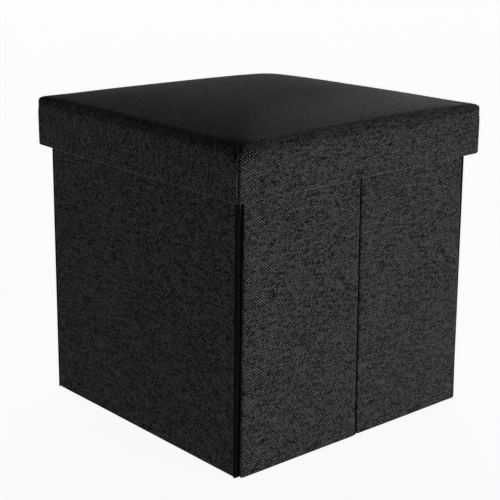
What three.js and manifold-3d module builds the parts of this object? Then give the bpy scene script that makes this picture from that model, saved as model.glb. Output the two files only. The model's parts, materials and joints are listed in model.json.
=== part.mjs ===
// Folding storage ottoman: a cube of fabric-covered fibreboard panels, joined by fabric hinges, with a
// hinged base board and a padded lift-off lid. Two opposite walls are whole. The other two are creased
// down the middle, so they fold inwards and the whole cube packs flat.
// Millimetres, +Z up. The origin is on the floor, under the middle of the cube.
import * as THREE from 'three';
import { mergeVertices } from 'three/addons/utils/BufferGeometryUtils.js';
import Module from 'manifold-3d';

const wasm = await Module();
wasm.setup();

// Driving dimensions of the cube
const LID_WIDTH = 380;
const BODY_WIDTH = 356;
const RIM_HEIGHT = 377;
const PLATEAU_HEIGHT = 384;
const SKIRT_HEIGHT = 61;
const WALL_TOP = 351;

// Layers of a wall panel, from the outside in, with a hair of air between layers
const AIR = 0.3;
const SKIN = 1.0;
const BOARD = 3.5;
const LINING = 0.6;
const TURNED_IN = 14;

// The panels hang just above the base board, on a soft folded hem
const BASE_THICKNESS = 4.6;
const TAPE_TOP = 5.3;
const PANEL_BOTTOM = 5.7;

// Grooves between the panels. The whole walls' edges stand back a little from the creased walls' faces.
const CORNER_GROOVE = 3.0;
const END_RECESS = 3.5;
const CREASE_GAP = 2.0;

// Lid
const LID_SKIN = 1.2;
const RIM_BOARD = 3.0;
const LID_BOARD = 4.0;
const SHOULDER_IN = 16;
const SHOULDER_DOWN = 13;
const SHOULDER_STEPS = 3;
const PLATEAU_INSET = 80;
const SKIRT_TURNED_IN = 12;
const RIM_CORNER_RELIEF = 5;

// Depths measured inwards from a panel's outer face
const BOARD_FRONT = SKIN + AIR;
const BOARD_BACK = BOARD_FRONT + BOARD;
const LINING_FRONT = BOARD_BACK + AIR;
const PANEL_DEPTH = LINING_FRONT + LINING;
const HALF_LID = LID_WIDTH / 2;
const HALF_BODY = BODY_WIDTH / 2;
const HALF_INSIDE = HALF_BODY - PANEL_DEPTH;

const charcoalWeave = new THREE.MeshStandardMaterial({ color: '#2b2b2d', roughness: 0.95, metalness: 0 });
const blackLining = new THREE.MeshStandardMaterial({ color: '#191919', roughness: 0.9, metalness: 0 });
const fibreboard = new THREE.MeshStandardMaterial({ color: '#8a6a48', roughness: 0.8, metalness: 0 });
const foam = new THREE.MeshStandardMaterial({ color: '#d9d3bd', roughness: 1, metalness: 0 });
const ribbon = new THREE.MeshStandardMaterial({ color: '#202022', roughness: 0.7, metalness: 0 });

// A box from its lowest corner to its highest corner.
function block([x0, y0, z0], [x1, y1, z1]) {
  const box = new THREE.BoxGeometry(x1 - x0, y1 - y0, z1 - z0);
  return box.translate((x0 + x1) / 2, (y0 + y1) / 2, (z0 + z1) / 2);
}

function piece(name, geometry, material) {
  const mesh = new THREE.Mesh(geometry, material);
  mesh.name = name;
  return mesh;
}

function toSolid(geometry) {
  const bare = geometry.clone();
  bare.deleteAttribute('normal');
  bare.deleteAttribute('uv');
  const merged = mergeVertices(bare);
  return new wasm.Manifold(new wasm.Mesh({
    numProp: 3,
    vertProperties: Float32Array.from(merged.attributes.position.array),
    triVerts: Uint32Array.from(merged.index.array),
  }));
}

function toGeometry(solid) {
  const mesh = solid.getMesh();
  const geometry = new THREE.BufferGeometry();
  geometry.setAttribute('position', new THREE.BufferAttribute(mesh.vertProperties, 3));
  geometry.setIndex(new THREE.BufferAttribute(mesh.triVerts, 1));
  geometry.computeVertexNormals();
  return geometry;
}

// The outer fabric of a panel. It wraps round the two upright edges and over the top edge,
// and is turned in down the inside for a short way.
function coverGeometry(length) {
  const outside = block([0, 0, PANEL_BOTTOM], [length, PANEL_DEPTH, WALL_TOP]);
  const pocket = block([SKIN, SKIN, 0], [length - SKIN, PANEL_DEPTH + SKIN, WALL_TOP - SKIN]);
  const turnedIn = block(
    [0, LINING_FRONT, WALL_TOP - TURNED_IN],
    [length, LINING_FRONT + SKIN, WALL_TOP],
  );
  return toGeometry(toSolid(outside).subtract(toSolid(pocket)).add(toSolid(turnedIn)));
}

// One wall panel, along +X from the group's origin, with its outer face on y = 0 and its inside towards
// +Y: a fibreboard core, the outer fabric, a non-woven lining and a folded hem along the floor.
function panel(name, length) {
  const near = SKIN + AIR;
  const far = length - near;
  const bottom = PANEL_BOTTOM + AIR;
  const core = block([near, BOARD_FRONT, bottom], [far, BOARD_BACK, WALL_TOP - near]);
  const lining = block([near, LINING_FRONT, bottom], [far, PANEL_DEPTH, WALL_TOP - TURNED_IN - AIR]);
  const hem = block([0, 0, 0], [length, PANEL_DEPTH, PANEL_BOTTOM - AIR]);
  const group = new THREE.Group();
  group.add(
    piece(`${name}_board`, core, fibreboard),
    piece(`${name}_cover`, coverGeometry(length), charcoalWeave),
    piece(`${name}_lining`, lining, blackLining),
    piece(`${name}_hem`, hem, charcoalWeave),
  );
  return group;
}

function place(group, x, y, quarterTurns) {
  group.position.set(x, y, 0);
  group.rotation.z = quarterTurns * Math.PI / 2;
  return group;
}

// Two whole walls at the sides, and a front and a back wall that are each two halves.
function walls() {
  const outerEnd = HALF_INSIDE - CORNER_GROOVE;
  const innerEnd = CREASE_GAP / 2;
  const half = outerEnd - innerEnd;
  const wholeEnd = HALF_BODY - END_RECESS;
  const group = new THREE.Group();
  group.add(
    place(panel('left_wall', 2 * wholeEnd), -HALF_BODY, wholeEnd, -1),
    place(panel('right_wall', 2 * wholeEnd), HALF_BODY, -wholeEnd, 1),
    place(panel('front_left_half', half), -outerEnd, -HALF_BODY, 0),
    place(panel('front_right_half', half), innerEnd, -HALF_BODY, 0),
    place(panel('back_left_half', half), -innerEnd, HALF_BODY, 2),
    place(panel('back_right_half', half), outerEnd, HALF_BODY, 2),
  );
  return group;
}

// The fabric that hinges the panels: a soft roll in each corner groove, and a flat strip in each crease.
// The strips move inwards over the base board, so they stop above it.
function hingeFabric() {
  const top = WALL_TOP - AIR;
  const rollHeight = top - AIR;
  const stripHeight = top - PANEL_BOTTOM;
  const rollRadius = CORNER_GROOVE / 2 - 2 * AIR;
  const rollSides = 8;
  const stripHalf = CREASE_GAP / 2 - AIR;
  const stripDepth = 2;
  const group = new THREE.Group();
  for (const [wall, side] of [['front', -1], ['back', 1]]) {
    for (const [hand, across] of [['left', -1], ['right', 1]]) {
      const roll = new THREE.CylinderGeometry(rollRadius, rollRadius, rollHeight, rollSides);
      const mesh = piece(`${wall}_${hand}_corner_gusset`, roll, charcoalWeave);
      mesh.rotation.x = Math.PI / 2;
      mesh.position.set(
        across * (HALF_INSIDE - (CORNER_GROOVE + AIR) / 2),
        side * (HALF_BODY - END_RECESS - rollRadius - AIR),
        top - rollHeight / 2,
      );
      group.add(mesh);
    }
    const strip = new THREE.BoxGeometry(2 * stripHalf, stripDepth, stripHeight);
    const mesh = piece(`${wall}_crease_gusset`, strip, charcoalWeave);
    mesh.position.set(0, side * (HALF_BODY - SKIN - stripDepth / 2), top - stripHeight / 2);
    group.add(mesh);
  }
  return group;
}

// The base board lies inside the walls in a non-woven sleeve, open along the hinge edge. A tape hinges
// it to the left wall, and a ribbon near the free edge lifts it.
function base() {
  const hingeEdge = -HALF_INSIDE + 0.8;
  const freeEdge = HALF_INSIDE - 0.9;
  const halfDepth = HALF_INSIDE - 1.3;
  const inset = LINING + AIR;
  const sleeve = toSolid(block([hingeEdge, -halfDepth, 0], [freeEdge, halfDepth, BASE_THICKNESS]));
  const pocket = toSolid(block(
    [hingeEdge - LINING, -halfDepth + LINING, LINING],
    [freeEdge - LINING, halfDepth - LINING, BASE_THICKNESS - LINING],
  ));
  const board = block(
    [hingeEdge + AIR, -halfDepth + inset, inset],
    [freeEdge - inset, halfDepth - inset, BASE_THICKNESS - inset],
  );
  const tapeWidth = 20;
  const tapeHalfLength = 165;
  const tape = block(
    [hingeEdge + AIR, -tapeHalfLength, BASE_THICKNESS + AIR],
    [hingeEdge + AIR + tapeWidth, tapeHalfLength, TAPE_TOP],
  );
  const ribbonHalfWidth = 11;
  const ribbonEnds = [122, 160];
  const tab = block(
    [ribbonEnds[0], -ribbonHalfWidth, BASE_THICKNESS + AIR],
    [ribbonEnds[1], ribbonHalfWidth, TAPE_TOP],
  );
  const group = new THREE.Group();
  group.add(
    piece('base_board', board, fibreboard),
    piece('base_sleeve', toGeometry(sleeve.subtract(pocket)), blackLining),
    piece('base_hinge_tape', tape, blackLining),
    piece('base_pull_tab', tab, ribbon),
  );
  return group;
}

// The padded top in profile, from the middle out: a flat plateau, a gentle slope and a soft shoulder.
// half is the half width over the skirt, and drop lowers the whole line.
function topProfile(half, drop) {
  const points = [new THREE.Vector2(0, PLATEAU_HEIGHT - drop)];
  points.push(new THREE.Vector2(half - PLATEAU_INSET, PLATEAU_HEIGHT - drop));
  for (let step = 0; step <= SHOULDER_STEPS; step += 1) {
    const turn = step / SHOULDER_STEPS * Math.PI / 2;
    points.push(new THREE.Vector2(
      half - SHOULDER_IN * (1 - Math.sin(turn)),
      RIM_HEIGHT - drop - SHOULDER_DOWN * (1 - Math.cos(turn)),
    ));
  }
  return points;
}

// A square solid of revolution: the profile's first number is the distance out to each flat side.
function squareLathe(profile) {
  const corners = profile.map((point) => new THREE.Vector2(point.x * Math.SQRT2, point.y));
  const lathe = new THREE.LatheGeometry(corners, 4);
  return lathe.rotateY(Math.PI / 4).rotateX(Math.PI / 2);
}

function lidCover(skirtBottom) {
  const inside = HALF_LID - LID_SKIN;
  const turnedInFace = inside - AIR - RIM_BOARD - AIR;
  const hemTop = skirtBottom + LID_SKIN;
  const profile = [
    ...topProfile(HALF_LID, 0),
    new THREE.Vector2(HALF_LID, skirtBottom),
    new THREE.Vector2(turnedInFace - SKIN, skirtBottom),
    new THREE.Vector2(turnedInFace - SKIN, skirtBottom + SKIRT_TURNED_IN),
    new THREE.Vector2(turnedInFace, skirtBottom + SKIRT_TURNED_IN),
    new THREE.Vector2(turnedInFace, hemTop),
    new THREE.Vector2(inside, hemTop),
    ...topProfile(inside, LID_SKIN).reverse(),
  ];
  return squareLathe(profile.reverse());
}

// The lid: four rim boards round a top board, a foam pad, the fabric cover and a non-woven lining.
// The side rims stop a little short, to leave room for the cover's corner seams.
function lid() {
  const skirtBottom = RIM_HEIGHT - SKIRT_HEIGHT;
  const rimOut = HALF_LID - LID_SKIN - AIR;
  const rimIn = rimOut - RIM_BOARD;
  const rimBottom = skirtBottom + LID_SKIN + AIR;
  const liningBottom = WALL_TOP + AIR;
  const liningTop = liningBottom + LINING;
  const boardBottom = liningTop + AIR;
  const boardTop = boardBottom + LID_BOARD;
  const edge = rimIn - AIR;
  const padLine = topProfile(rimOut, LID_SKIN + AIR);
  const pad = squareLathe([
    new THREE.Vector2(0, boardTop + AIR),
    new THREE.Vector2(rimOut, boardTop + AIR),
    ...padLine.reverse(),
  ]);
  const lining = squareLathe([
    new THREE.Vector2(0, liningBottom),
    new THREE.Vector2(edge - LINING, liningBottom),
    new THREE.Vector2(edge - LINING, skirtBottom + SKIRT_TURNED_IN + AIR),
    new THREE.Vector2(edge, skirtBottom + SKIRT_TURNED_IN + AIR),
    new THREE.Vector2(edge, liningTop),
    new THREE.Vector2(0, liningTop),
  ]);
  const sideRimEnd = rimOut - RIM_CORNER_RELIEF;
  const sideRim = block([rimIn, -sideRimEnd, rimBottom], [rimOut, sideRimEnd, boardTop]);
  const endRim = block([-edge, rimIn, rimBottom], [edge, rimOut, boardTop]);
  const group = new THREE.Group();
  group.add(
    piece('lid_cover', lidCover(skirtBottom), charcoalWeave),
    piece('lid_foam_pad', pad, foam),
    piece('lid_top_board', block([-edge, -edge, boardBottom], [edge, edge, boardTop]), fibreboard),
    piece('lid_lining', lining, blackLining),
  );
  for (const [name, geometry, half] of [
    ['lid_rim_right', sideRim, 0], ['lid_rim_left', sideRim, 1],
    ['lid_rim_back', endRim, 0], ['lid_rim_front', endRim, 1],
  ]) {
    const mesh = piece(name, geometry.clone(), fibreboard);
    mesh.rotation.z = half * Math.PI;
    group.add(mesh);
  }
  return group;
}

const ottoman = new THREE.Group();
ottoman.add(walls(), hingeFabric(), base(), lid());

export default ottoman;
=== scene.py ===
"""A folding storage ottoman: six covered board panels round a hinged base board, and a padded lift-off lid.

The file follows the way the ottoman is put together: walls, hinge fabric, linings, base, lid, and last
the studio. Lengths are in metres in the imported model's own frame: +Z up, floor at z = 0, front wall
towards -Y.
"""
import json
import math

import bpy
import numpy as np
from mathutils import Matrix, Vector

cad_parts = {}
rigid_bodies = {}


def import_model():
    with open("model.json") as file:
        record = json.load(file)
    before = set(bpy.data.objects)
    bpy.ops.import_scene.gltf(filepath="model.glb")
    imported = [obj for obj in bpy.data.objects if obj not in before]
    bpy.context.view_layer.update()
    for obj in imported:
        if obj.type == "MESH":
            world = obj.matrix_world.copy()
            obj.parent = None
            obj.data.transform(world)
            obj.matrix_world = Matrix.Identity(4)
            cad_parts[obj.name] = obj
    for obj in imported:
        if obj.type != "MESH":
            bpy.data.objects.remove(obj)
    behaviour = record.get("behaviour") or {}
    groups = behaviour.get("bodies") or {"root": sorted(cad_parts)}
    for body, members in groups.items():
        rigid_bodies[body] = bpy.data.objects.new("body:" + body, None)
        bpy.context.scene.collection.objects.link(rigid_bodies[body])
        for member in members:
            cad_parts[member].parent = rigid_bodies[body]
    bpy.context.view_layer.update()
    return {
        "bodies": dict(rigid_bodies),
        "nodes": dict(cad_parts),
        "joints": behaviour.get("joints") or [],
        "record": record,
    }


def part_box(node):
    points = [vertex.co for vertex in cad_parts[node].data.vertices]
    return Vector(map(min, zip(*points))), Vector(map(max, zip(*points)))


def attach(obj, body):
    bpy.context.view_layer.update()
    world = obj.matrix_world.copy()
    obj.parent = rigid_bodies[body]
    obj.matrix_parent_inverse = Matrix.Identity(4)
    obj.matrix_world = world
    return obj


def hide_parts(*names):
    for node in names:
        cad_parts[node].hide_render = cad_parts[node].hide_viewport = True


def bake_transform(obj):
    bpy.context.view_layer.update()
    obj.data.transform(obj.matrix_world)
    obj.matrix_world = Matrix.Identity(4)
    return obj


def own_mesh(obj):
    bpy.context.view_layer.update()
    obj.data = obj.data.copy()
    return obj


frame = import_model()
nodes = frame["nodes"]


# ---------------------------------------------------------------------------------------------------
# Wall covers. Each panel is a stiff board in a tight slip of coarse plain-woven polyester, charcoal
# and black. The slip wraps the outer face, the upright edges and the top edge, and is turned in and
# sewn down inside the top. Towards the floor the slips stand a little proud of their boards.

MM = 0.001
WALLS = {
    "left_wall": (-1, 0),
    "right_wall": (1, 0),
    "front_left_half": (0, -1),
    "front_right_half": (0, -1),
    "back_left_half": (0, 1),
    "back_right_half": (0, 1),
}
THREAD_PITCH = (1.87 * MM, 1.56 * MM, 1.0)
WARP_COLOUR = (0.0015, 0.0015, 0.0016, 1)
WEFT_COLOUR = (0.155, 0.155, 0.157, 1)


def add_node(tree, kind, inputs=None, **settings):
    """A shader node with its settings. Each input is linked if it is given a socket, and set if not."""
    node = tree.nodes.new("ShaderNode" + kind)
    for name, value in settings.items():
        setattr(node, name, value)
    for key, value in (inputs or {}).items():
        if isinstance(value, bpy.types.NodeSocket):
            tree.links.new(value, node.inputs[key])
        else:
            node.inputs[key].default_value = value
    return node


def maths(tree, operation, *terms):
    return add_node(tree, "Math", dict(enumerate(terms)), operation=operation).outputs[0]


def mix_colour(tree, share, first, second, blend_type="MIX"):
    node = add_node(tree, "Mix", {0: share, 6: first, 7: second}, data_type="RGBA",
                    blend_type=blend_type)
    return node.outputs[2]


def new_group(name, inputs, outputs):
    """An empty node group, its input node's sockets and its output node."""
    tree = bpy.data.node_groups.new(name, "ShaderNodeTree")
    for socket, kind in inputs.items():
        tree.interface.new_socket(name=socket, in_out="INPUT", socket_type="NodeSocket" + kind)
    for socket, kind in outputs.items():
        tree.interface.new_socket(name=socket, in_out="OUTPUT", socket_type="NodeSocket" + kind)
    entry = tree.nodes.new("NodeGroupInput")
    leave = tree.nodes.new("NodeGroupOutput")
    return tree, entry.outputs, leave


def make_weave_group():
    """Plain weave. Threads are counted along both ways of the cloth. Where the two counts add up to an
    even number the warp is on top, and elsewhere the weft. A thread's height is a half sine across it,
    times a flatter half sine along it as it dives under the next. Its tone drifts along its length.
    The colour is darkened where the threads are low, as painted shade in the hollows of the weave."""
    tree, given, leave = new_group(
        "plain_weave",
        {"Cloth": "Vector", "Pitch": "Vector", "Warp": "Color", "Weft": "Color", "Spread": "Float"},
        {"Color": "Color", "Height": "Float"},
    )
    wander = add_node(tree, "TexNoise", {"Vector": given["Cloth"], "Scale": 60.0, "Detail": 1.0})
    centred = add_node(tree, "VectorMath", {0: wander.outputs["Color"], 1: (0.5, 0.5, 0.5)},
                       operation="SUBTRACT")
    threads = add_node(tree, "VectorMath", {0: given["Cloth"], 1: given["Pitch"]}, operation="DIVIDE")
    drawn = add_node(tree, "VectorMath", {0: centred.outputs[0], 1: (0.9, 0.9, 0.0),
                                          2: threads.outputs[0]}, operation="MULTIPLY_ADD")
    count = add_node(tree, "SeparateXYZ", {0: drawn.outputs[0]})
    across, along = count.outputs[0], count.outputs[1]
    warp_number = maths(tree, "FLOOR", across)
    weft_number = maths(tree, "FLOOR", along)
    warp_round = maths(tree, "SINE", maths(tree, "MULTIPLY", maths(tree, "FRACT", across), math.pi))
    weft_round = maths(tree, "SINE", maths(tree, "MULTIPLY", maths(tree, "FRACT", along), math.pi))
    weft_on_top = maths(tree, "FLOORED_MODULO", maths(tree, "ADD", warp_number, weft_number), 2.0)
    warp_height = maths(tree, "MULTIPLY", warp_round, maths(tree, "MULTIPLY_ADD", weft_round, .45, .55))
    weft_height = maths(tree, "MULTIPLY", weft_round, maths(tree, "MULTIPLY_ADD", warp_round, .45, .55))
    height = add_node(tree, "Mix", {0: weft_on_top, 2: warp_height, 3: weft_height}).outputs[0]

    crossing = add_node(tree, "CombineXYZ", {0: warp_number, 1: weft_number, 2: weft_on_top})
    speck = add_node(tree, "TexWhiteNoise", {0: crossing.outputs[0]}).outputs["Value"]

    def drift(number, run, seed):
        """The slow change of shade along one thread, from its own noise track."""
        place = add_node(tree, "CombineXYZ", {
            0: maths(tree, "MULTIPLY", number, 7.31),
            1: maths(tree, "MULTIPLY", run, 0.11),
            2: seed,
        })
        return add_node(tree, "TexNoise", {"Vector": place.outputs[0], "Scale": 1.0,
                                           "Detail": 2.0}).outputs[0]

    drifted = add_node(tree, "Mix", {0: weft_on_top, 2: drift(warp_number, along, 3.7),
                                     3: drift(weft_number, across, 9.2)}).outputs[0]
    lean = maths(tree, "ADD", maths(tree, "MULTIPLY_ADD", drifted, 2.4, -1.2),
                 maths(tree, "MULTIPLY_ADD", speck, 1.5, -0.75))
    shade = maths(tree, "MULTIPLY_ADD", lean, given["Spread"], 1.0)
    # painted shade: the colour falls to 30% where the weave is lowest, in the hollows between threads
    painted_hollow_shade = maths(tree, "MULTIPLY_ADD", height, 0.7, 0.3)
    light = maths(tree, "MAXIMUM", maths(tree, "MULTIPLY", shade, painted_hollow_shade), 0.05)
    yarn = mix_colour(tree, weft_on_top, given["Warp"], given["Weft"])
    lit = add_node(tree, "VectorMath", {0: yarn, "Scale": light}, operation="SCALE")
    tree.links.new(lit.outputs[0], leave.inputs["Color"])
    tree.links.new(height, leave.inputs["Height"])
    return tree


weave_group = make_weave_group()


def new_material(name, **constants):
    """A material holding one Principled BSDF, with those constant inputs set on its own sockets."""
    material = bpy.data.materials.new(name)
    material.use_nodes = True
    shader = material.node_tree.nodes["Principled BSDF"]
    for socket, value in constants.items():
        shader.inputs[socket.replace("_", " ")].default_value = value
    return material, material.node_tree, shader


def make_charcoal_weave():
    """The outer fabric: black warp, charcoal weft, matt, with a faint bloom at grazing angles."""
    material, tree, shader = new_material(
        "charcoal_weave", Roughness=0.85, Sheen_Weight=0.9, Sheen_Roughness=0.15)
    shader.inputs["Specular IOR Level"].default_value = 0.05
    shader.inputs["Sheen Tint"].default_value = (1, 1, 1, 1)
    cloth = add_node(tree, "UVMap", uv_map="cloth")
    weave = add_node(tree, "Group", node_tree=weave_group)
    for socket, value in (("Pitch", THREAD_PITCH), ("Warp", WARP_COLOUR), ("Weft", WEFT_COLOUR),
                          ("Spread", 0.85)):
        weave.inputs[socket].default_value = value
    tree.links.new(cloth.outputs[0], weave.inputs["Cloth"])
    bump = add_node(tree, "Bump", {"Strength": 0.6, "Distance": 0.4 * MM,
                                   "Height": weave.outputs["Height"]})
    tree.links.new(weave.outputs["Color"], shader.inputs["Base Color"])
    tree.links.new(bump.outputs[0], shader.inputs["Normal"])
    return material


charcoal_weave = make_charcoal_weave()


def edge_lines(low, high, radius, spacing):
    """Grid lines from low to high, close together in the rounded edges and evenly spaced between."""
    near = radius * np.array([0, 0.18, 0.42, 0.73, 1.0])
    count = max(1, round((high - low - 2 * radius) / spacing))
    middle = np.linspace(low + radius, high - radius, count + 1)
    return np.concatenate([low + near[:-1], middle, (high - near[:-1])[::-1]])


def box_sheet(lines, faces, cloth_of):
    """A box drawn as one grid on each of the faces, welded where they meet, facing outwards.
    lines holds the grid lines on each of the three axes, and faces the (axis, end) pairs to draw.
    cloth_of(points, axis, sign) gives the cloth coordinates of a face's points.
    Returns the points, the quads and each quad corner's cloth coordinates."""
    points, cloth, quads = [], [], []
    start = 0
    for axis, end in faces:
        sign = 1 if end else -1
        one, two = (axis + 1) % 3, (axis + 2) % 3
        a, b = np.meshgrid(lines[one], lines[two], indexing="ij")
        grid = np.empty(a.shape + (3,))
        grid[..., axis] = lines[axis][-1 if end else 0]
        grid[..., one] = a
        grid[..., two] = b
        number = start + np.arange(a.size).reshape(a.shape)
        ring = [number[:-1, :-1], number[1:, :-1], number[1:, 1:], number[:-1, 1:]]
        quads.append(np.stack(ring[::sign], -1).reshape(-1, 4))
        points.append(grid.reshape(-1, 3))
        cloth.append(cloth_of(points[-1], axis, sign))
        start += a.size
    points, cloth, quads = map(np.concatenate, (points, cloth, quads))
    welded, place = np.unique(np.round(points, 7), axis=0, return_inverse=True)
    return welded, place.reshape(-1)[quads], cloth[quads]


def round_edges(points, low, high, radius):
    """Each point of a box is pulled onto a ball of that radius rolled along the box's edges inside."""
    core = np.clip(points, low + radius, high - radius)
    out = points - core
    length = np.linalg.norm(out, axis=1, keepdims=True)
    return core + radius * out / np.maximum(length, 1e-9)


def add_piece(name, points, quads, material, cloth=None):
    """A smooth mesh object from arrays. cloth is each quad corner's place on the fabric, in metres."""
    mesh = bpy.data.meshes.new(name)
    used, quads = np.unique(quads, return_inverse=True)
    quads = quads.reshape(-1, 4)
    mesh.from_pydata(points[used].tolist(), [], quads.tolist())
    mesh.shade_smooth()
    if cloth is not None:
        layer = mesh.uv_layers.new(name="cloth")
        layer.data.foreach_set("uv", cloth.reshape(-1).astype(np.float32))
    mesh.materials.append(material)
    piece = bpy.data.objects.new(name, mesh)
    bpy.context.scene.collection.objects.link(piece)
    return piece


def add_thickness(piece, thickness):
    """The cloth's own thickness, added inwards."""
    solid = piece.modifiers.new("thickness", "SOLIDIFY")
    solid.thickness = thickness
    solid.offset = -1
    solid.use_even_offset = False


PANEL_DEPTH = 5.7 * MM
HEM_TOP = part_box("left_wall_hem")[1].z + 0.3 * MM
FLANGE_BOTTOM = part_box("left_wall_lining")[1].z + 0.3 * MM
WALL_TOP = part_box("left_wall_cover")[1].z
EDGE_RADIUS = 2.0 * MM
CLOTH = 0.8 * MM
PROUD_AT_FLOOR = 3.5 * MM
PROUD_AT_TOP = 0.35 * MM
END_PROUD = 0.3 * MM
LIP_AT_TOP = 1.0 * MM
LIP_AT_FLOOR = 7.6 * MM
LIP_DEPTH = (2.0 * MM, 3.7 * MM)
WAVE_HEIGHT = 0.2 * MM
HEM_EDGE = 3.2 * MM
HEM_CORNER = 5.5 * MM
GRID = 6 * MM


def panel_cloth(points, axis, sign):
    """Cloth coordinates on a panel: along and up on the faces, carried on by the depth round an edge."""
    along, depth, up = points.T
    return np.stack([along + sign * depth * (axis == 0), up + sign * depth * (axis == 2)], 1)


def shape_panel(points, name):
    """Takes box points (along, depth, up) of a panel to their place on the ottoman.
    The edges are rounded; the bottom edge rounds more, most of all at its two corners. The face stands
    proud by a straight taper towards the floor, with slow waves a third of a millimetre high. A half
    wall's outer layer runs on past its board as a lip that nearly closes the corner groove."""
    low, high = (np.array(corner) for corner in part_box(name + "_cover"))
    outward = np.array(WALLS[name] + (0,), float)
    along = np.array([-outward[1], outward[0], 0.0])
    half = abs(along @ (high - low)) / 2
    face_centre = along * (along @ (low + high) / 2) + outward * max(outward @ low, outward @ high)
    s, depth, up = round_edges(points, np.array([-half, 0, -EDGE_RADIUS]),
                               np.array([half, PANEL_DEPTH, WALL_TOP]), EDGE_RADIUS).T
    taper = 1 - up / WALL_TOP
    outer = 1 - depth / PANEL_DEPTH
    end = np.clip((np.abs(s) / half - 0.93) / 0.07, 0, 1)
    seed = 1.7 * list(WALLS).index(name)
    waves = (np.sin(s * 31 + up * 9 + seed) * np.sin(up * 23 - s * 5 + 2 * seed)
             + 0.6 * np.sin(up * 47 + s * 14 + 3 * seed))
    proud = (PROUD_AT_TOP + (PROUD_AT_FLOOR - PROUD_AT_TOP) * taper
             + WAVE_HEIGHT * waves * (1 - end) * (up < WALL_TOP - EDGE_RADIUS))

    pinch = 1 - np.sqrt(1 - np.clip(1 - up / HEM_EDGE, 0, 1) ** 2)
    end_roll = 1 - np.sqrt(1 - np.clip(1 - up / HEM_CORNER, 0, 1) ** 2)
    if name in ("left_wall", "right_wall"):
        longer = END_PROUD * taper * end
    else:
        corner_way = along[0] * (-1 if "left" in name else 1)
        thin = np.clip((LIP_DEPTH[1] - depth) / (LIP_DEPTH[1] - LIP_DEPTH[0]), 0, 1)
        lip = LIP_AT_TOP + (LIP_AT_FLOOR - LIP_AT_TOP) * taper
        longer = lip * thin * end * (s * corner_way > 0)
        end_roll = end_roll * np.where(s * corner_way > 0, 0.5, 1)
    s = s + np.sign(s) * (longer - 0.8 * HEM_CORNER * end_roll * end)
    depth = depth - proud * outer
    depth = depth + (PANEL_DEPTH / 2 - depth) * 0.65 * pinch
    return (face_centre + np.outer(s, along) - np.outer(depth, outward)
            + np.outer(up, np.array([0, 0, 1.0])))


def follow_cloth(name, points, placed, quads, cloth):
    """Cloth coordinates again, with the distance along the wall taken from where each point went."""
    along = np.array([-WALLS[name][1], WALLS[name][0], 0.0])
    low, high = (np.array(corner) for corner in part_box(name + "_cover"))
    moved = (placed - (low + high) / 2) @ along - points[:, 0]
    cloth = cloth.copy()
    cloth[..., 0] += moved[quads]
    return cloth


def make_cover(name):
    low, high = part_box(name + "_cover")
    half = max(high.x - low.x, high.y - low.y) / 2
    heights = edge_lines(HEM_TOP, WALL_TOP, EDGE_RADIUS, GRID)
    heights = np.unique(np.append(heights[heights <= WALL_TOP], FLANGE_BOTTOM).round(7))
    lines = [edge_lines(-half, half, EDGE_RADIUS, GRID),
             edge_lines(0, PANEL_DEPTH, EDGE_RADIUS, 2 * MM), heights]
    faces = [(1, 0), (1, 1), (0, 0), (0, 1), (2, 1)]
    points, quads, cloth = box_sheet(lines, faces, panel_cloth)
    centre = points[quads].mean(1)
    kept = (centre[:, 1] < PANEL_DEPTH - 1e-6) | (centre[:, 2] > FLANGE_BOTTOM)
    placed = shape_panel(points, name)
    cloth = follow_cloth(name, points, placed, quads, cloth)
    cover = add_piece(name + "_slip", placed, quads[kept], charcoal_weave, cloth[kept])
    add_thickness(cover, CLOTH)
    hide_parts(name + "_cover")
    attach(cover, name)
    return cover


for name in WALLS:
    make_cover(name)


# ---------------------------------------------------------------------------------------------------
# Hems. Under each board the slip is folded over a soft cord of its own cloth, which stands on the floor and
# rounds off at both ends.

RIGHT_HALF_LIFT = 1.3 * MM


def make_hem(name, joint, lift=0.0):
    low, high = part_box(name + "_cover")
    half = max(high.x - low.x, high.y - low.y) / 2
    rise = np.array([0, 0.1, 0.4, 0.9, 1.6, 2.5, 3.6, 4.7])
    heights = np.append(rise * MM, HEM_TOP)
    lines = [edge_lines(-half, half, EDGE_RADIUS, GRID),
             edge_lines(0, PANEL_DEPTH, EDGE_RADIUS, 2 * MM), heights]
    faces = [(0, 0), (0, 1), (1, 0), (1, 1), (2, 0), (2, 1)]
    points, quads, cloth = box_sheet(lines, faces, panel_cloth)
    placed = shape_panel(points, name)
    cloth = follow_cloth(name, points, placed, quads, cloth)
    placed[:, 2] = lift + placed[:, 2] * (1 - lift / HEM_TOP)
    hem = add_piece(name + "_floor_hem", placed, quads, charcoal_weave, cloth)
    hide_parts(name + "_hem")
    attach(hem, name)
    if joint:
        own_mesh(hem)


make_hem("left_wall", None)
make_hem("right_wall", "right_front_corner")
make_hem("front_left_half", "wall_fold")
make_hem("front_right_half", "front_crease", RIGHT_HALF_LIFT)
make_hem("back_left_half", "left_back_corner")
make_hem("back_right_half", "back_crease", RIGHT_HALF_LIFT)


# ---------------------------------------------------------------------------------------------------
# Hinge fabric. A black binding tape covers each end of the two whole walls and runs on, in a soft roll,
# to the half wall beside it. In each crease it dips inwards in a narrow valley. The roll at the back
# right corner is sewn to the right wall only.
# The tape's near-black colour is painted shade for the grooves and valleys it lines.

GROOVE_BOTTOM = 0.8 * MM


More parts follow.
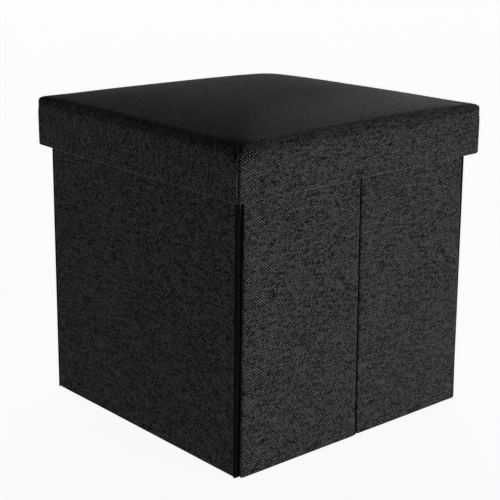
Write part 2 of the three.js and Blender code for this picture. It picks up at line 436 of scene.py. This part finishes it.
def make_binding_material():
    """Matt black polyester tape with fine ribs along its length. It is coloured darker than such tape is,
    as painted shade for the corner grooves, crease valleys and lid seams, and its rib hollows are painted
    darker.
    """
    material, tree, shader = new_material(
        "black_binding_painted_shade", Roughness=0.9, Sheen_Weight=0.05, Sheen_Roughness=0.4)
    shader.inputs["Specular IOR Level"].default_value = 0.1
    cloth = add_node(tree, "UVMap", uv_map="cloth").outputs[0]
    ribs = add_node(tree, "TexWave", {"Vector": cloth, "Scale": 240.0, "Distortion": 0.6},
                    bands_direction="X")
    # painted shade: near-black colour for the shade in the grooves and valleys, darkest in the rib hollows
    colour = mix_colour(tree, ribs.outputs["Color"], (0.0006, 0.0006, 0.0007, 1),
                        (0.007, 0.007, 0.0073, 1))
    bump = add_node(tree, "Bump", {"Strength": 0.3, "Distance": 0.2 * MM,
                                   "Height": ribs.outputs["Color"]})
    tree.links.new(colour, shader.inputs["Base Color"])
    tree.links.new(bump.outputs[0], shader.inputs["Normal"])
    return material


black_binding_painted_shade = make_binding_material()


def sweep_up(profile, bottom, top, steps, drift):
    """A profile of (across, out) points carried straight up. drift(height) gives how far each point
    leans sideways and out there. Returns points, quads and each quad corner's cloth coordinates."""
    heights = np.linspace(bottom, top, steps)
    count = len(profile)
    points = np.empty((steps, count, 3))
    points[..., :2] = profile + drift(heights[:, None, None])
    points[..., 2] = heights[:, None]
    length = np.append(0, np.cumsum(np.linalg.norm(np.diff(profile, axis=0), axis=1)))
    cloth = np.stack(np.broadcast_arrays(length[None, :], heights[:, None]), -1).reshape(-1, 2)
    number = np.arange(steps * count).reshape(steps, count)
    quads = np.stack([number[:-1, :-1], number[:-1, 1:], number[1:, 1:], number[1:, :-1]],
                     -1).reshape(-1, 4)
    return points.reshape(-1, 3), quads, cloth[quads]


def hinge_piece(name, points, quads, cloth, mirror, node):
    """Places a strip made at the right (+X) front (-Y) and mirrors it to its own side."""
    placed = points * np.array([mirror[0], -mirror[1], 1.0])
    if mirror[0] * -mirror[1] < 0:
        quads, cloth = quads[:, ::-1], cloth[:, ::-1]
    strip = add_piece(name, placed, quads, black_binding_painted_shade, cloth)
    add_thickness(strip, 0.5 * MM)
    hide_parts(node)
    return strip


def make_corner_roll(wall, hand):
    """The tape over the end of a whole wall, and the roll of fabric standing in the corner groove."""
    node = f"{wall}_{hand}_corner_gusset"
    low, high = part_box(node)
    middle = max(abs(low.x), abs(high.x)) - 0.9 * MM
    base_out = max(abs(low.y), abs(high.y)) - 1.5 * MM
    end_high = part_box("right_wall_cover")[1]
    face = end_high.x + 0.2 * MM
    end_out = end_high.y + 0.75 * MM
    turn = np.linspace(0.25, math.pi, 12)
    roll_line = np.stack([middle + 1.4 * MM * np.cos(turn), base_out + 2.6 * MM * np.sin(turn)], 1)
    across = face + np.array([0, 0.15, 0.05, -0.5, -1.4, -2.8]) * MM
    on_end = np.stack([across, end_out - np.array([3.2, 2.4, 0.8, 0.15, 0, 0]) * MM], 1)
    leg = np.array([[middle - 1.45 * MM, base_out - 1.6 * MM]])
    profile = np.vstack([on_end, roll_line, leg])
    free = np.append(np.zeros(len(on_end)), np.ones(len(roll_line) + 1))
    outermost = np.clip((profile[:, 0] - face + 1.4 * MM) / (1.4 * MM), 0, 1)

    def drift(height):
        taper = 1 - height[..., 0] / WALL_TOP
        roll = 1.2 * MM * taper + 0.15 * MM * np.sin(height[..., 0] * 55)
        aside = 0.12 * MM * np.sin(height[..., 0] * 38 + 1)
        flare = (PROUD_AT_TOP + (PROUD_AT_FLOOR - PROUD_AT_TOP) * taper) * outermost
        return np.stack([aside * free + flare, roll * free + END_PROUD * taper * (1 - free)], -1)

    points, quads, cloth = sweep_up(profile, GROOVE_BOTTOM, high.z, 61, drift)
    mirror = (1 if hand == "right" else -1, 1 if wall == "front" else -1)
    roll = hinge_piece(node.replace("gusset", "roll"), points, quads, cloth, mirror, node)
    whole = f"{hand}_wall"
    if (wall, hand) == ("back", "right"):
        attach(roll, whole)
    else:
        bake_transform(roll)


VALLEY_HALF_WIDTH = 1.05 * MM
VALLEY_DEPTH = 2.6 * MM
VALLEY_LEAN = 2.6 * MM
FOOT_HALF_WIDTH = 1.3 * MM
FOOT_DEPTH = 3.0 * MM


def make_crease_valley(wall):
    """The tape between two halves, tucked in along the crease and leaning out with them below."""
    node = f"{wall}_crease_gusset"
    low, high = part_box(node)
    out = max(abs(low.y), abs(high.y)) + 0.1 * MM
    turn = np.linspace(0, math.pi, 11)
    profile = np.stack([VALLEY_HALF_WIDTH * np.cos(turn), out - VALLEY_DEPTH * np.sin(turn)], 1)

    def drift(height):
        return VALLEY_LEAN * (1 - height / WALL_TOP) * np.array([0.0, 1.0])

    points, quads, cloth = sweep_up(profile, low.z, high.z, 61, drift)
    valley = hinge_piece(node.replace("gusset", "valley"), points, quads, cloth,
                         (1, 1 if wall == "front" else -1), node)
    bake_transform(valley)


def make_crease_foot(wall):
    """A short tab of the same tape below the valley, sewn to the left half."""
    face = abs(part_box(f"{wall}_crease_gusset")[0 if wall == "front" else 1].y)
    lines = [np.linspace(-FOOT_HALF_WIDTH, FOOT_HALF_WIDTH, 3), np.linspace(0, FOOT_DEPTH, 3),
             np.array([1.4 * MM, 3.0 * MM, HEM_TOP])]
    every_face = [(0, 0), (0, 1), (1, 0), (1, 1), (2, 0), (2, 1)]
    points, quads, cloth = box_sheet(lines, every_face, panel_cloth)
    points[:, 1] = face + 2.9 * MM - points[:, 1]
    points[:, :2] *= (1 if wall == "back" else -1)
    foot = add_piece(f"{wall}_crease_foot", points, quads[:, ::-1], black_binding_painted_shade, cloth[:, ::-1])
    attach(foot, f"{wall}_left_half")
    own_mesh(foot)


for wall in ("front", "back"):
    for hand in ("left", "right"):
        make_corner_roll(wall, hand)
    make_crease_valley(wall)
make_crease_foot("front")
make_crease_foot("back")


# ---------------------------------------------------------------------------------------------------
# Boards and linings. The cores are brown fibreboard. Inside, each panel has a black non-woven lining,
# pressed all over with small dots, and the slip's turned-in edge is sewn down over it in lock stitch.

def make_fibreboard():
    """Pressed wood fibre: a streaky brown with darker flecks, slightly rough to the touch."""
    material, tree, shader = new_material("fibreboard", Roughness=0.8)
    place = add_node(tree, "TexCoord").outputs["Object"]
    fibre = add_node(tree, "TexNoise", {"Vector": place, "Scale": 420.0, "Detail": 4.0,
                                        "Distortion": 1.5})
    cloud = add_node(tree, "TexNoise", {"Vector": place, "Scale": 30.0, "Detail": 2.0})
    streaks = mix_colour(tree, fibre.outputs[0], (0.13, 0.075, 0.04, 1), (0.33, 0.21, 0.12, 1))
    board = mix_colour(tree, maths(tree, "MULTIPLY", cloud.outputs[0], 0.5), streaks,
                       (0.2, 0.13, 0.075, 1))
    bump = add_node(tree, "Bump", {"Strength": 0.3, "Distance": 0.2 * MM, "Height": fibre.outputs[0]})
    tree.links.new(board, shader.inputs["Base Color"])
    tree.links.new(bump.outputs[0], shader.inputs["Normal"])
    return material


def make_lining_material():
    """Spun non-woven: a mat of fine black fibre with a lattice of pressed dots 1.8 mm apart."""
    material, tree, shader = new_material("black_lining", Roughness=0.7)
    shader.inputs["Specular IOR Level"].default_value = 0.3
    place = add_node(tree, "TexCoord").outputs["Object"]
    dots = add_node(tree, "TexVoronoi", {"Vector": place, "Scale": 1 / (1.8 * MM), "Randomness": 0.12})
    fibre = add_node(tree, "TexNoise", {"Vector": place, "Scale": 900.0, "Detail": 3.0,
                                        "Distortion": 2.0})
    pressed = add_node(tree, "MapRange", {0: dots.outputs["Distance"], 1: 0.18, 2: 0.42},
                       interpolation_type="SMOOTHSTEP").outputs[0]
    mat_height = maths(tree, "MULTIPLY_ADD", fibre.outputs[0], 0.5, pressed)
    shade = maths(tree, "MULTIPLY_ADD", fibre.outputs[0], 0.7, maths(tree, "MULTIPLY", pressed, 0.4))
    colour = mix_colour(tree, shade, (0.006, 0.006, 0.006, 1), (0.030, 0.030, 0.031, 1))
    bump = add_node(tree, "Bump", {"Strength": 0.6, "Distance": 0.25 * MM, "Height": mat_height})
    tree.links.new(colour, shader.inputs["Base Color"])
    tree.links.new(bump.outputs[0], shader.inputs["Normal"])
    return material


def make_thread_material():
    """Bonded black thread with the slanting lines of its twist."""
    material, tree, shader = new_material("black_thread", Roughness=0.5)
    place = add_node(tree, "TexCoord").outputs["Object"]
    twist = add_node(tree, "TexWave", {"Vector": place, "Scale": 900.0, "Distortion": 1.0},
                     bands_direction="DIAGONAL")
    colour = mix_colour(tree, twist.outputs[1], (0.010, 0.010, 0.010, 1), (0.045, 0.045, 0.046, 1))
    tree.links.new(colour, shader.inputs["Base Color"])
    return material


fibreboard = make_fibreboard()
black_lining = make_lining_material()
black_thread = make_thread_material()


def finish_node(name, material):
    nodes[name].data.materials.clear()
    nodes[name].data.materials.append(material)


for name in WALLS:
    finish_node(name + "_board", fibreboard)
    finish_node(name + "_lining", black_lining)

STITCH_LENGTH = 3.4 * MM
STITCH_PITCH = 4.2 * MM
STITCH_RADIUS = 0.35 * MM


def stitch_row(start, end, lift):
    """A row of stitches from start to end. Each is a small spindle, half sunk in the cloth, whose radius
    is the root of a half sine along it. lift is the way out of the cloth."""
    start, end, lift = (np.array(v, float) for v in (start, end, lift))
    run = np.linalg.norm(end - start)
    along = (end - start) / run
    aside = np.cross(lift, along)
    count = int(run / STITCH_PITCH)
    centres = start + along * STITCH_PITCH * (np.arange(count)[:, None] + 0.5)
    t = np.linspace(0, 1, 6)
    turn = np.linspace(0, 2 * math.pi, 7)[:-1]
    radius = STITCH_RADIUS * np.sqrt(np.sin(math.pi * np.clip(t, 0.02, 0.98)))
    spindle = (along * ((t - 0.5) * STITCH_LENGTH)[:, None, None]
               + aside * (radius[:, None] * np.cos(turn))[..., None]
               + lift * (radius[:, None] * np.sin(turn))[..., None])
    points = (centres[:, None, None] + spindle).reshape(-1, 3)
    number = np.arange(t.size * turn.size).reshape(t.size, turn.size)
    after = np.roll(number, -1, 1)
    sides = np.stack([number[:-1], after[:-1], after[1:], number[1:]], -1).reshape(-1, 4)
    caps = np.array([number[0, [3, 2, 1, 0]], number[0, [5, 4, 3, 0]],
                     number[-1, [0, 1, 2, 3]], number[-1, [0, 3, 4, 5]]])
    quads = np.concatenate([sides, caps])
    steps = np.arange(count)[:, None, None] * number.size
    return points, (quads + steps).reshape(-1, 4)


def add_stitches(name, rows, body):
    """One piece from several rows of stitches."""
    points, quads, start = [], [], 0
    for row_points, row_quads in rows:
        points.append(row_points)
        quads.append(row_quads + start)
        start += len(row_points)
    piece = add_piece(name, np.concatenate(points), np.concatenate(quads), black_thread)
    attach(piece, body)
    return piece


for name, outward in WALLS.items():
    low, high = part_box(name + "_cover")
    out = np.array(outward + (0,), float)
    along = np.array([-out[1], out[0], 0.0])
    middle = (np.array(low) + np.array(high)) / 2
    half = max(high.x - low.x, high.y - low.y) / 2 - 6 * MM
    face = max(abs(out @ np.array(low)), abs(out @ np.array(high))) - PANEL_DEPTH
    centre = along * (along @ middle) + out * face + np.array([0, 0, FLANGE_BOTTOM + 3 * MM])
    add_stitches(name + "_top_stitches", [stitch_row(centre - along * half, centre + along * half, -out)],
                 name)


# ---------------------------------------------------------------------------------------------------
# Base. A board in a black non-woven sleeve with soft rounded edges, hinged to the left wall by a tape,
# with a grosgrain ribbon near the free edge to lift it by.

SLEEVE_EDGE = 1.5 * MM


def plan_cloth(points, axis, sign):
    return points[:, :2] + sign * np.outer(points[:, 2], [axis == 0, axis == 1])


def make_base_sleeve():
    low, high = (np.array(corner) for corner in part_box("base_sleeve"))
    lines = [edge_lines(low[k], high[k], SLEEVE_EDGE, 8 * MM) for k in range(2)]
    lines.append(edge_lines(low[2], high[2], SLEEVE_EDGE, 2 * MM))
    points, quads, cloth = box_sheet(lines, [(k, end) for k in range(3) for end in (0, 1)], plan_cloth)
    sleeve = add_piece("base_lining_sleeve", round_edges(points, low, high, SLEEVE_EDGE), quads,
                       black_lining, cloth)
    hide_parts("base_sleeve")
    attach(sleeve, "base_flap")


def make_ribbon_material():
    """Black grosgrain: close ribs across the ribbon, with a satin shine. The colour is darker in the rib
    hollows, as painted shade.
    """
    material, tree, shader = new_material("grosgrain", Roughness=0.45)
    shader.inputs["Specular IOR Level"].default_value = 0.4
    cloth = add_node(tree, "UVMap", uv_map="cloth")
    ribs = add_node(tree, "SeparateXYZ", {0: cloth.outputs[0]}).outputs[0]
    wave = maths(tree, "SINE", maths(tree, "MULTIPLY", ribs, 2 * math.pi / (0.9 * MM)))
    height = maths(tree, "MULTIPLY_ADD", wave, 0.5, 0.5)
    # painted shade: darker where the ribs dip
    colour = mix_colour(tree, height, (0.006, 0.006, 0.006, 1), (0.030, 0.030, 0.032, 1))
    bump = add_node(tree, "Bump", {"Strength": 0.7, "Distance": 0.2 * MM, "Height": height})
    tree.links.new(colour, shader.inputs["Base Color"])
    tree.links.new(bump.outputs[0], shader.inputs["Normal"])
    return material


grosgrain = make_ribbon_material()


def make_ribbon():
    """A flat loop: a lower layer, a tight fold at the free end and an upper layer a little shorter."""
    low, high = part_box("base_pull_tab")
    width = np.linspace(low.y, high.y, 15)
    fold = 0.16 * MM
    lower = np.linspace(low.x, high.x - fold, 20)
    turn = np.linspace(-math.pi / 2, math.pi / 2, 7)[1:-1]
    upper = lower[::-1][:-1]
    middle = low.z + fold + 0.02 * MM
    x = np.concatenate([lower, high.x - fold + fold * np.cos(turn), upper])
    z = np.concatenate([lower * 0 + middle - fold, middle + fold * np.sin(turn), upper * 0 + middle + fold])
    z = z + 0.05 * MM * np.sin((x - low.x) * 260) * (z > middle)
    points = np.stack(np.broadcast_arrays(x[:, None], width[None, :], z[:, None]), -1)
    run = np.append(0, np.cumsum(np.hypot(np.diff(x), np.diff(z))))
    cloth = np.stack(np.broadcast_arrays(run[:, None], width[None, :]), -1).reshape(-1, 2)
    number = np.arange(points.size // 3).reshape(points.shape[:2])
    quads = np.stack([number[:-1, :-1], number[:-1, 1:], number[1:, 1:], number[1:, :-1]],
                     -1).reshape(-1, 4)
    ribbon = add_piece("base_lifting_ribbon", points.reshape(-1, 3), quads, grosgrain, cloth[quads])
    add_thickness(ribbon, 0.2 * MM)
    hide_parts("base_pull_tab")
    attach(ribbon, "base_flap")


make_base_sleeve()
make_ribbon()
finish_node("base_board", fibreboard)
finish_node("base_hinge_tape", black_lining)
tape_low, tape_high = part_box("base_hinge_tape")
tape_edge = tape_high.x - 2.5 * MM
thread_height = tape_high.z - 0.28 * MM
add_stitches("hinge_tape_stitches", [stitch_row((tape_edge, tape_low.y + 4 * MM, thread_height),
                                               (tape_edge, tape_high.y - 4 * MM, thread_height),
                                               (0, 0, 1))], "base_flap")


# ---------------------------------------------------------------------------------------------------
# Lid cover. One padded cap of the same weave: a top stretched over foam, and a skirt of four sides sewn
# together in an upright seam at each corner. The skirt is turned in under the rim boards. The foam
# pushes the top up in a low crown; at the corners the cloth is drawn tight into small ears.

LID_LOW, LID_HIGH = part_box("lid_cover")
LID_HALF = LID_HIGH.x + 0.2 * MM
SKIRT_BOTTOM = LID_LOW.z
RIM = 375.7 * MM
SHOULDER = (16 * MM, 13 * MM)
CORNER_SHOULDER = (9 * MM, 8 * MM)
CORNER_SHARPNESS = 9
CROWN = 12.0 * MM
CROWN_POWER = 3.0
HEM_ROUND = 2.4 * MM
HEM_UP = 9 * MM
SEAM_DEPTH = 2.0 * MM
SEAM_WIDTH = 1.3 * MM
NOTCH_TOP = 363 * MM
CORD_TOP = 361 * MM
LID_CORNER = 9.0 * MM
DIAGONAL_SAG = 4.0 * MM
FILL_CAP = 2.0 * MM
AIR_PRESSURE = 4
AIR_FRAMES = 20


def lid_cloth(points, axis, sign):
    """Cloth coordinates on the lid: the plan view on the top, carried on down each side."""
    down = RIM - points[:, 2]
    return points[:, :2] + sign * np.outer(down, [axis == 0, axis == 1])


def shape_lid(points, half, rim, crown, seam):
    """Takes box points to the padded lid. The height coordinate runs on past the skirt's lower edge,
    round a half circle and up the inside. Each square ring of the box keeps its shape: it is moved to
    the ring and height of the profile, which is upright, then a quarter ellipse, then the top. The
    ellipse grows towards the corners. The crown is (1 - |x|^p)(1 - |y|^p) over it all, and the seam a
    narrow notch along each upright corner, with the cloth a little proud on both sides of it."""
    x, y, z = points.T
    ring = np.maximum(np.abs(x), np.abs(y))
    corner = np.minimum(np.abs(x), np.abs(y)) / np.maximum(ring, 1e-9)
    inset, drop = (size + more * np.sign(x * y) * corner ** CORNER_SHARPNESS
                   for size, more in zip(SHOULDER, CORNER_SHOULDER))
    hem_start = SKIRT_BOTTOM + HEM_ROUND
    on_top = z > rim - 1e-7
    below_top = np.clip((rim - z) / SHOULDER[1], 0, 1)
    turn = np.where(on_top, np.clip(1 - (half - ring) / inset, 0, 1), 1 + below_top) * math.pi / 4
    new_ring = np.where(turn > 0, half - inset + inset * np.sin(turn), ring)
    height = rim - drop + drop * np.cos(turn)
    share = (z - hem_start) / (rim - SHOULDER[1] - hem_start)
    skirt = z < rim - SHOULDER[1]
    height = np.where(skirt, hem_start + share * (rim - drop - hem_start), height)

    bend = np.clip((hem_start - z) / HEM_ROUND, 0, math.pi)
    inner = np.maximum(hem_start - math.pi * HEM_ROUND - z, 0)
    hem = z < hem_start
    new_ring = np.where(hem, half - HEM_ROUND * (1 - np.cos(bend)), new_ring)
    height = np.where(hem, hem_start - HEM_ROUND * np.sin(bend) + inner, height)

    flat = np.stack([x, y], 1) * (new_ring / np.maximum(ring, 1e-9))[:, None]
    core = np.clip(flat, -(new_ring - LID_CORNER)[:, None], (new_ring - LID_CORNER)[:, None])
    off = flat - core
    reach = np.abs(off).max(1, keepdims=True)
    flat = core + reach * off / np.maximum(np.linalg.norm(off, axis=1, keepdims=True), 1e-9)

    bulge = np.prod(1 - np.clip(np.abs(flat) / half, 0, 1) ** CROWN_POWER, axis=1)
    height = height + crown * bulge * on_top
    from_seam = (1 - corner) * new_ring
    fade = np.clip((NOTCH_TOP - height) / (5 * MM), 0, 1) * (1 - np.clip(bend / 2, 0, 1)) * ~on_top
    notch = (np.exp(-(from_seam / SEAM_WIDTH) ** 2)
             - 0.35 * np.exp(-((from_seam - 5 * MM) / (4 * MM)) ** 2)) * seam * fade
    flat *= (1 - notch / new_ring)[:, None]
    sag = DIAGONAL_SAG * (1 + flat[:, 0] * flat[:, 1] / half ** 2) / 2
    return np.column_stack([flat, height - sag])


def fill_with_air(piece, loose, cap):
    """Cloth simulation: a little air pressure under the cover. loose is how free each point is, from 0
    to 1. No point ends more than cap from the modelled shape."""
    count = len(piece.data.vertices)
    before = np.empty(count * 3)
    piece.data.vertices.foreach_get("co", before)
    pins = piece.vertex_groups.new(name="pins")
    for index, freedom in enumerate(loose):
        pins.add([index], 1 - freedom, "REPLACE")
    cloth = piece.modifiers.new("cloth", "CLOTH")
    cloth.settings.quality = 6
    cloth.settings.mass = 0.2
    cloth.settings.tension_stiffness = 20
    cloth.settings.compression_stiffness = 20
    cloth.settings.bending_stiffness = 2.0
    cloth.settings.use_pressure = True
    cloth.settings.uniform_pressure_force = AIR_PRESSURE
    cloth.settings.effector_weights.gravity = 0
    cloth.settings.vertex_group_mass = "pins"
    cloth.point_cache.frame_start = 1
    cloth.point_cache.frame_end = AIR_FRAMES
    for frame in range(1, AIR_FRAMES + 1):
        bpy.context.scene.frame_set(frame)
    settled = piece.evaluated_get(bpy.context.evaluated_depsgraph_get()).data
    after = np.empty(count * 3)
    settled.vertices.foreach_get("co", after)
    piece.modifiers.remove(cloth)
    piece.vertex_groups.remove(pins)
    bpy.context.scene.frame_set(1)
    moved = (after - before).reshape(-1, 3)
    distance = np.linalg.norm(moved, axis=1, keepdims=True)
    moved *= np.minimum(1, cap / np.maximum(distance, 1e-9))
    piece.data.vertices.foreach_set("co", (before.reshape(-1, 3) + moved).ravel())
    piece.data.update()


def make_lid_cover():
    near = np.array([0, 0.5, 1.0, 1.6, 2.4, 3.4, 4.8, 6.6, 8.8, 11.2, 14.5, 19.5, 26.0, 33.0]) * MM
    start = LID_HALF - near[-1]
    middle = np.linspace(-start, start, round(2 * start / (7 * MM)) + 1)
    across = np.concatenate([-LID_HALF + near[:-1], middle, (LID_HALF - near[:-1])[::-1]])
    hem_start = SKIRT_BOTTOM + HEM_ROUND
    tucked = np.linspace(hem_start - math.pi * HEM_ROUND - HEM_UP, hem_start - math.pi * HEM_ROUND, 3)
    curl = np.linspace(hem_start - math.pi * HEM_ROUND, hem_start, 9)[1:]
    skirt = np.linspace(hem_start, RIM - SHOULDER[1], 11)[1:]
    shoulder = np.linspace(RIM - SHOULDER[1], RIM, 7)[1:]
    lines = [across, across, np.concatenate([tucked, curl, skirt, shoulder])]
    points, quads, cloth = box_sheet(lines, [(0, 0), (0, 1), (1, 0), (1, 1), (2, 1)], lid_cloth)
    placed = shape_lid(points, LID_HALF, RIM, CROWN, SEAM_DEPTH)
    cover = add_piece("lid_cushion_cover", placed, quads, charcoal_weave, cloth)
    corners = np.array([vertex.co for vertex in cover.data.vertices])
    inside = 1 - np.clip(np.abs(corners[:, :2]).max(1) / LID_HALF, 0, 1)
    loose = np.clip(inside / 0.12, 0, 1) * (corners[:, 2] > RIM - SHOULDER[1])
    fill_with_air(cover, loose, FILL_CAP)
    add_thickness(cover, 0.8 * MM)
    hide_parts("lid_cover")
    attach(cover, "lid")


def make_seam_shade_cords():
    """Four upright black cords, one down the bottom of each corner notch, as painted shade along the seams.
    """
    reach = LID_HALF - LID_CORNER * (1 - math.sqrt(0.5)) - SEAM_DEPTH + 0.25 * MM
    turns = np.linspace(0, 2 * math.pi, 9)[:-1]
    heights = np.linspace(SKIRT_BOTTOM + 1.5 * MM, CORD_TOP, 16)
    ring = np.stack([np.cos(turns), np.sin(turns)], 1) * 1.0 * MM
    parts, quads = [], []
    for side in (-1, 1):
        for end in (-1, 1):
            first = sum(len(part) for part in parts)
            sag = DIAGONAL_SAG * (1 + side * end * (reach / LID_HALF) ** 2) / 2
            tube = [np.column_stack([ring + (side * reach, end * reach), np.full(8, height - sag)])
                    for height in heights]
            parts.append(np.vstack(tube))
            for level in range(15):
                for k in range(8):
                    low, high = first + level * 8, first + level * 8 + 8
                    quads.append((low + k, low + (k + 1) % 8, high + (k + 1) % 8, high + k))
    # painted shade: the near-black cords darken the seam notches
    seams = add_piece("lid_seam_shade_cords", np.vstack(parts), np.array(quads), black_binding_painted_shade,
                      np.zeros((len(quads), 4, 2)))
    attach(seams, "lid")


make_lid_cover()
make_seam_shade_cords()


# ---------------------------------------------------------------------------------------------------
# Lid core. A slab of cream polyurethane foam, cut square and glued to the top board, rounds over under
# the cover. The rim boards and the top board are fibreboard, and the underside is lined.

def make_foam_material():
    """Open-cell foam: cream, with cells half a millimetre across. Each cell is darker where it dips, as
    painted shade in the pores.
    """
    material, tree, shader = new_material("cream_foam", Roughness=0.95)
    place = add_node(tree, "TexCoord").outputs["Object"]
    cells = add_node(tree, "TexVoronoi", {"Vector": place, "Scale": 1900.0})
    cloud = add_node(tree, "TexNoise", {"Vector": place, "Scale": 25.0})
    # painted shade: the colour darkens into each cell's hollow
    colour = mix_colour(tree, cells.outputs["Distance"], (0.42, 0.36, 0.24, 1), (0.78, 0.72, 0.56, 1))
    aged = mix_colour(tree, maths(tree, "MULTIPLY", cloud.outputs[0], 0.4), colour,
                      (0.66, 0.55, 0.34, 1))
    bump = add_node(tree, "Bump", {"Strength": 0.5, "Distance": 0.3 * MM,
                                   "Height": cells.outputs["Distance"]})
    tree.links.new(aged, shader.inputs["Base Color"])
    tree.links.new(bump.outputs[0], shader.inputs["Normal"])
    return material


def make_foam_pad():
    low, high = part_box("lid_foam_pad")
    half = high.x - 0.6 * MM
    across = edge_lines(-half, half, SHOULDER[0] + 8 * MM, 9 * MM)
    rim = RIM - 1.6 * MM
    up = np.concatenate([np.linspace(low.z, rim - SHOULDER[1], 4),
                         np.linspace(rim - SHOULDER[1], rim, 6)[1:]])
    faces = [(0, 0), (0, 1), (1, 0), (1, 1), (2, 0), (2, 1)]
    points, quads, _ = box_sheet([across, across, up], faces, lid_cloth)
    placed = shape_lid(points, half, rim, CROWN, 0.0)
    pad = add_piece("lid_foam_block", placed, quads, make_foam_material())
    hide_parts("lid_foam_pad")
    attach(pad, "lid")


make_foam_pad()
for name in ("lid_top_board", "lid_rim_left", "lid_rim_right", "lid_rim_front", "lid_rim_back"):
    finish_node(name, fibreboard)
finish_node("lid_lining", black_lining)

hem_face = LID_HALF - 2 * HEM_ROUND - 0.8 * MM
hem_height = SKIRT_BOTTOM + HEM_ROUND + 5.5 * MM
hem_run = hem_face - 5 * MM
add_stitches("lid_hem_stitches", [
    stitch_row((side * hem_face * ax - hem_run * ay, side * hem_face * ay - hem_run * ax, hem_height),
               (side * hem_face * ax + hem_run * ay, side * hem_face * ay + hem_run * ax, hem_height),
               (-side * ax, -side * ay, 0))
    for side in (-1, 1) for ax, ay in ((1, 0), (0, 1))
], "lid")


# ---------------------------------------------------------------------------------------------------
# Studio: a pale floor, a soft key from the front right, and a dim room with one bright side behind the
# cube. The floor and the room are brighter to the camera than as lights.

def add_area_light(name, place, target, width, height, power, spread=math.pi):
    light = bpy.data.lights.new(name, "AREA")
    light.shape = "RECTANGLE"
    light.size, light.size_y = width, height
    light.energy = power
    light.spread = spread
    lamp = bpy.data.objects.new(name, light)
    lamp.location = place
    lamp.rotation_euler = (Vector(target) - Vector(place)).to_track_quat("-Z", "Y").to_euler()
    bpy.context.scene.collection.objects.link(lamp)
    return lamp


FLOOR_AS_LIGHT = 0.48
FLOOR_IN_VIEW = 0.93


def make_floor():
    material, tree, shader = new_material("pale_floor", Roughness=0.9)
    shader.inputs["Base Color"].default_value = (0.25, 0.25, 0.25, 1)
    shader.inputs["Emission Color"].default_value = (1, 1, 1, 1)
    rays = add_node(tree, "LightPath")
    glow = add_node(tree, "Mix", {0: rays.outputs["Is Camera Ray"], 2: FLOOR_AS_LIGHT,
                                  3: FLOOR_IN_VIEW})
    tree.links.new(glow.outputs[0], shader.inputs["Emission Strength"])
    turns = np.linspace(0, 2 * math.pi, 65)[:-1]
    reach = 30.0
    ring = np.stack([np.cos(turns) * reach, np.sin(turns) * reach, np.zeros(64)], 1)
    mesh = bpy.data.meshes.new("floor")
    mesh.from_pydata(ring.tolist(), [], [list(range(64))])
    mesh.materials.append(material)
    floor = bpy.data.objects.new("floor", mesh)
    bpy.context.scene.collection.objects.link(floor)


make_floor()
BACKDROP_WAY = (0.5, 0.866, 0.0)
BACKDROP_LIGHT = 45.0
ROOM_LIGHT = 0.06
CEILING_LIGHT = 0.10

world = bpy.data.worlds.new("studio")
world.use_nodes = True
world_tree = world.node_tree
background = world_tree.nodes["Background"]
way = add_node(world_tree, "TexCoord").outputs["Generated"]
height = add_node(world_tree, "SeparateXYZ", {0: way}).outputs[2]
behind = add_node(world_tree, "VectorMath", {0: way, 1: BACKDROP_WAY}, operation="DOT_PRODUCT")
backdrop = add_node(world_tree, "MapRange", {0: behind.outputs["Value"], 1: 0.5, 2: 0.95, 3: ROOM_LIGHT,
                                             4: BACKDROP_LIGHT}, interpolation_type="SMOOTHSTEP")
glow = add_node(world_tree, "MapRange", {0: height, 1: 0.2, 2: 0.45, 3: backdrop.outputs[0],
                                         4: CEILING_LIGHT}, interpolation_type="SMOOTHSTEP")
rays = add_node(world_tree, "LightPath")
strength = add_node(world_tree, "Mix", {0: rays.outputs["Is Camera Ray"], 2: glow.outputs[0], 3: 1.0})
world_tree.links.new(strength.outputs[0], background.inputs["Strength"])
bpy.context.scene.world = world
bpy.context.scene.view_settings.view_transform = "Standard"
bpy.context.scene.cycles.denoising_prefilter = "NONE"

add_area_light("key", (1.0, -2.6, 0.2), (0, 0, 0.15), 1.6, 0.4, 31)


# ---------------------------------------------------------------------------------------------------
# Camera: three quarters on to the front left corner, from a little above seat height, through a long
# lens that is rolled by a third of a degree.

AZIMUTH, ELEVATION, ROLL = map(math.radians, (-41.16, 15.98, 0.38))
DISTANCE = 1.600
back = Vector((math.sin(AZIMUTH) * math.cos(ELEVATION), -math.cos(AZIMUTH) * math.cos(ELEVATION),
               math.sin(ELEVATION)))
right = (-back).cross(Vector((0, 0, 1))).normalized()
up = right.cross(-back)
turned_right = right * math.cos(ROLL) + up * math.sin(ROLL)
turned_up = up * math.cos(ROLL) - right * math.sin(ROLL)
lens = bpy.data.cameras.new("camera")
lens.lens = 93.0
lens.shift_x = -0.0114
lens.shift_y = -0.003
camera = bpy.data.objects.new("camera", lens)
place = Vector((0, 0, 0.19)) + back * DISTANCE
camera.matrix_world = Matrix((
    (turned_right.x, turned_up.x, back.x, place.x),
    (turned_right.y, turned_up.y, back.y, place.y),
    (turned_right.z, turned_up.z, back.z, place.z),
    (0, 0, 0, 1),
))
bpy.context.scene.collection.objects.link(camera)
bpy.context.scene.camera = camera
